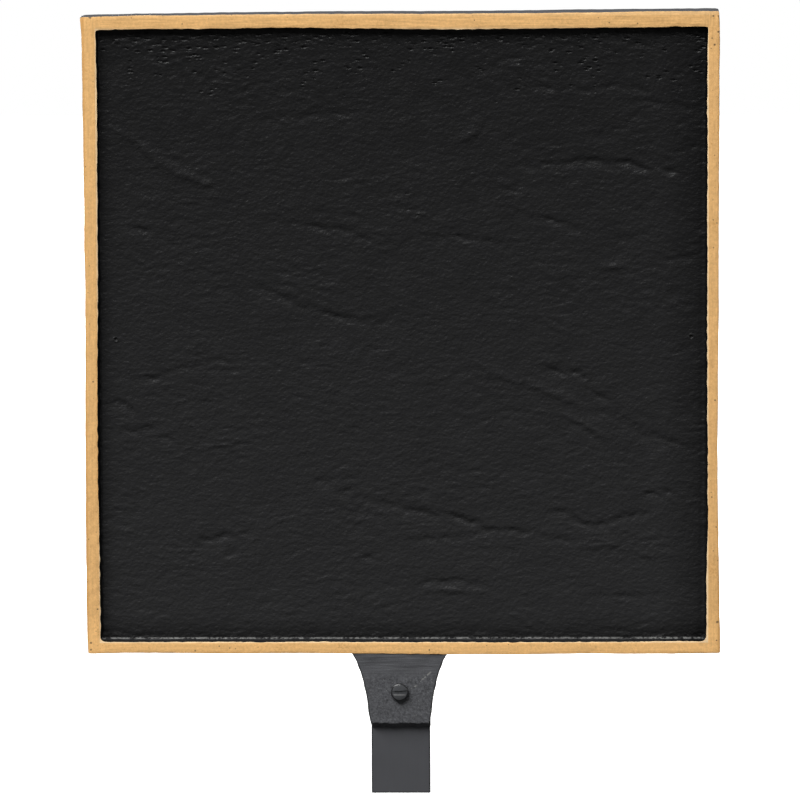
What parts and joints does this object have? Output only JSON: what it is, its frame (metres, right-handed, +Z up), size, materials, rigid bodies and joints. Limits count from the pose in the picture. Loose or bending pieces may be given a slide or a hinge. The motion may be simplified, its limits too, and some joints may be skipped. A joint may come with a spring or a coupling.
{
  "type": "lawn address sign",
  "caption": "Square cast sign with a raised gold border round a blank black field, on a flared tab screwed to a flat ground stake.",
  "frame": {"origin": "middle of the stake's square cut end, where the sign meets the ground", "axes": "+Z up along the stake, -Y out of the sign's face towards the reader, +X to the reader's right"},
  "size_m": [0.3048, 0.0123, 0.379],
  "materials": {
    "plaque_enamel": "satin",
    "stake_paint": "satin",
    "screw_steel": "satin"
  },
  "bodies": {
    "root": {"plaque": "plaque_enamel", "stake": "stake_paint", "stake_screw": "screw_steel"}
  },
  "joints": []
}
